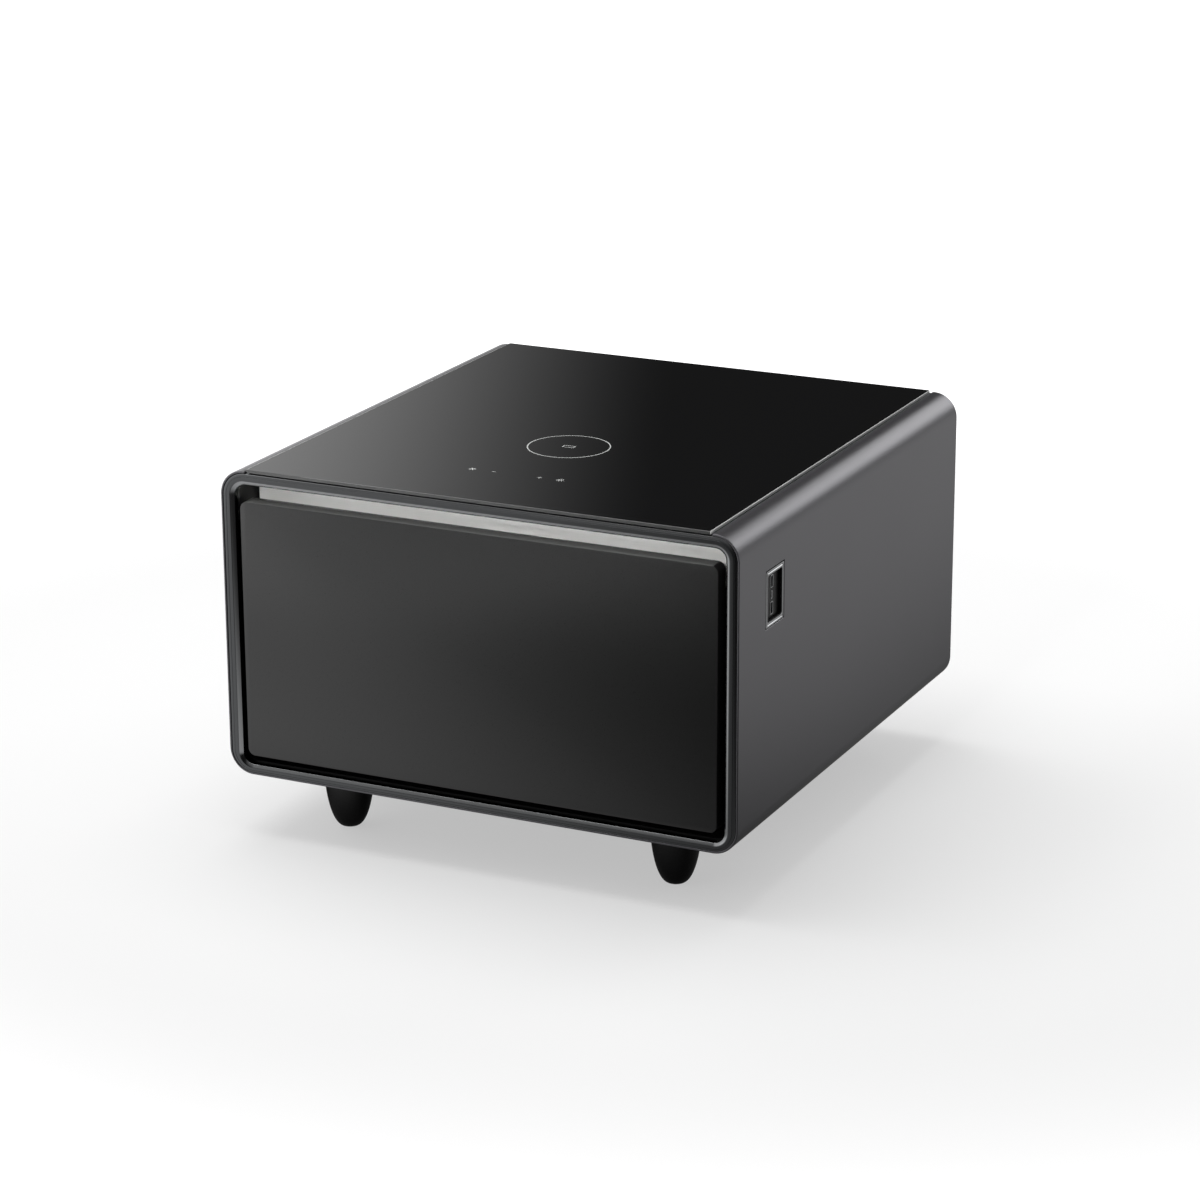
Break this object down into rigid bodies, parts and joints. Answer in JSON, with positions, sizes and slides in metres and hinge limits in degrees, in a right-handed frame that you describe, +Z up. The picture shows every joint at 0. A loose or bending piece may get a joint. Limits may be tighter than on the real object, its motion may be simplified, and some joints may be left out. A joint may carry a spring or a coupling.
{
  "type": "coffee table",
  "caption": "Low square coffee table with rounded corners, a black glass top with touch marks, a full-width insulated refrigerator drawer, and bullet-shaped feet.",
  "frame": {"origin": "on the floor under the middle of the table", "axes": "+Z up, -Y out of the drawer front, +X to the viewer's right facing the drawer"},
  "size_m": [0.65, 0.67, 0.45],
  "materials": {
    "shell_paint": "dark grey metallic paint, satin",
    "frame_metal": "dark anodised, fine brushed",
    "black_glass": "black tempered glass, polished",
    "panel_black": "smooth black front, soft sheen",
    "black_plastic": "matt moulded plastic",
    "foot_plastic": "high gloss moulded plastic",
    "white_plastic": "white vacuum-formed plastic",
    "brushed_aluminium": "satin brushed, warm grey",
    "foam": "rigid insulating foam",
    "rubber": "soft black rubber",
    "zinc_steel": "bright zinc plate",
    "copper": "bare copper",
    "black_steel": "black powder coat",
    "circuit_board": "green solder mask"
  },
  "bodies": {
    "cabinet": {"outer_shell": "shell_paint", "front_frame": "frame_metal", "mouth_surround": "black_plastic", "mouth_header": "black_plastic", "glass_top": "black_glass", "touch_board": "circuit_board", "charging_coil": "copper", "inner_liner": "white_plastic", "insulation": "foam", "evaporator": "brushed_aluminium", "temperature_probe": "white_plastic", "socket_bezel": "frame_metal", "socket_housing": "black_plastic", "socket_board": "circuit_board", "usb_port_upper": "zinc_steel", "usb_port_middle": "zinc_steel", "usb_port_lower": "zinc_steel", "rear_panel": "black_steel", "power_inlet": "black_plastic", "base_tray": "zinc_steel", "compressor": "black_steel", "start_relay": "black_plastic", "condenser": "copper", "discharge_pipe": "copper", "suction_pipe": "copper", "board_tray": "white_plastic", "power_board": "circuit_board", "fan_frame": "black_plastic", "fan_motor": "zinc_steel", "slide_outer_left": "zinc_steel", "slide_outer_right": "zinc_steel", "foot_front_left": "foot_plastic", "foot_stud_front_left": "zinc_steel", "grommet_front_left": "rubber", "foot_front_right": "foot_plastic", "foot_stud_front_right": "zinc_steel", "grommet_front_right": "rubber", "foot_rear_left": "foot_plastic", "foot_stud_rear_left": "zinc_steel", "grommet_rear_left": "rubber", "foot_rear_right": "foot_plastic", "foot_stud_rear_right": "zinc_steel", "grommet_rear_right": "rubber"},
    "drawer": {"drawer_panel": "panel_black", "door_core": "foam", "pull_channel": "brushed_aluminium", "door_liner": "black_plastic", "door_gasket": "rubber", "drawer_tub": "white_plastic", "drawer_rail_left": "zinc_steel", "drawer_rail_right": "zinc_steel", "slide_inner_left": "zinc_steel", "slide_inner_right": "zinc_steel"},
    "slide_middle_left_body": {"slide_middle_left": "zinc_steel"},
    "ball_cage_outer_left_body": {"ball_cage_outer_left": "zinc_steel"},
    "ball_cage_inner_left_body": {"ball_cage_inner_left": "zinc_steel"},
    "slide_middle_right_body": {"slide_middle_right": "zinc_steel"},
    "ball_cage_outer_right_body": {"ball_cage_outer_right": "zinc_steel"},
    "ball_cage_inner_right_body": {"ball_cage_inner_right": "zinc_steel"},
    "fan": {"fan_rotor": "black_plastic"}
  },
  "joints": [
    {"name": "drawer_slide", "type": "slide", "parent": "cabinet", "child": "drawer", "axis": [0, -1, 0], "range_m": [0, 0.35]},
    {"name": "slide_middle_left_slide", "type": "slide", "parent": "cabinet", "child": "slide_middle_left_body", "axis": [0, -1, 0], "range_m": [0, 0.175]},
    {"name": "ball_cage_outer_left_slide", "type": "slide", "parent": "cabinet", "child": "ball_cage_outer_left_body", "axis": [0, -1, 0], "range_m": [0, 0.0875]},
    {"name": "ball_cage_inner_left_slide", "type": "slide", "parent": "cabinet", "child": "ball_cage_inner_left_body", "axis": [0, -1, 0], "range_m": [0, 0.2625]},
    {"name": "slide_middle_right_slide", "type": "slide", "parent": "cabinet", "child": "slide_middle_right_body", "axis": [0, -1, 0], "range_m": [0, 0.175]},
    {"name": "ball_cage_outer_right_slide", "type": "slide", "parent": "cabinet", "child": "ball_cage_outer_right_body", "axis": [0, -1, 0], "range_m": [0, 0.0875]},
    {"name": "ball_cage_inner_right_slide", "type": "slide", "parent": "cabinet", "child": "ball_cage_inner_right_body", "axis": [0, -1, 0], "range_m": [0, 0.2625]},
    {"name": "fan_spin", "type": "hinge", "parent": "cabinet", "child": "fan", "pos_m": [-0.022, 0.2515, 0.1391], "axis": [1, 0, 0], "continuous": true}
  ],
  "couplings": [
    {"joint": "slide_middle_left_slide", "follows": "drawer_slide", "ratio": 0.5},
    {"joint": "ball_cage_outer_left_slide", "follows": "drawer_slide", "ratio": 0.25},
    {"joint": "ball_cage_inner_left_slide", "follows": "drawer_slide", "ratio": 0.75},
    {"joint": "slide_middle_right_slide", "follows": "drawer_slide", "ratio": 0.5},
    {"joint": "ball_cage_outer_right_slide", "follows": "drawer_slide", "ratio": 0.25},
    {"joint": "ball_cage_inner_right_slide", "follows": "drawer_slide", "ratio": 0.75}
  ]
}
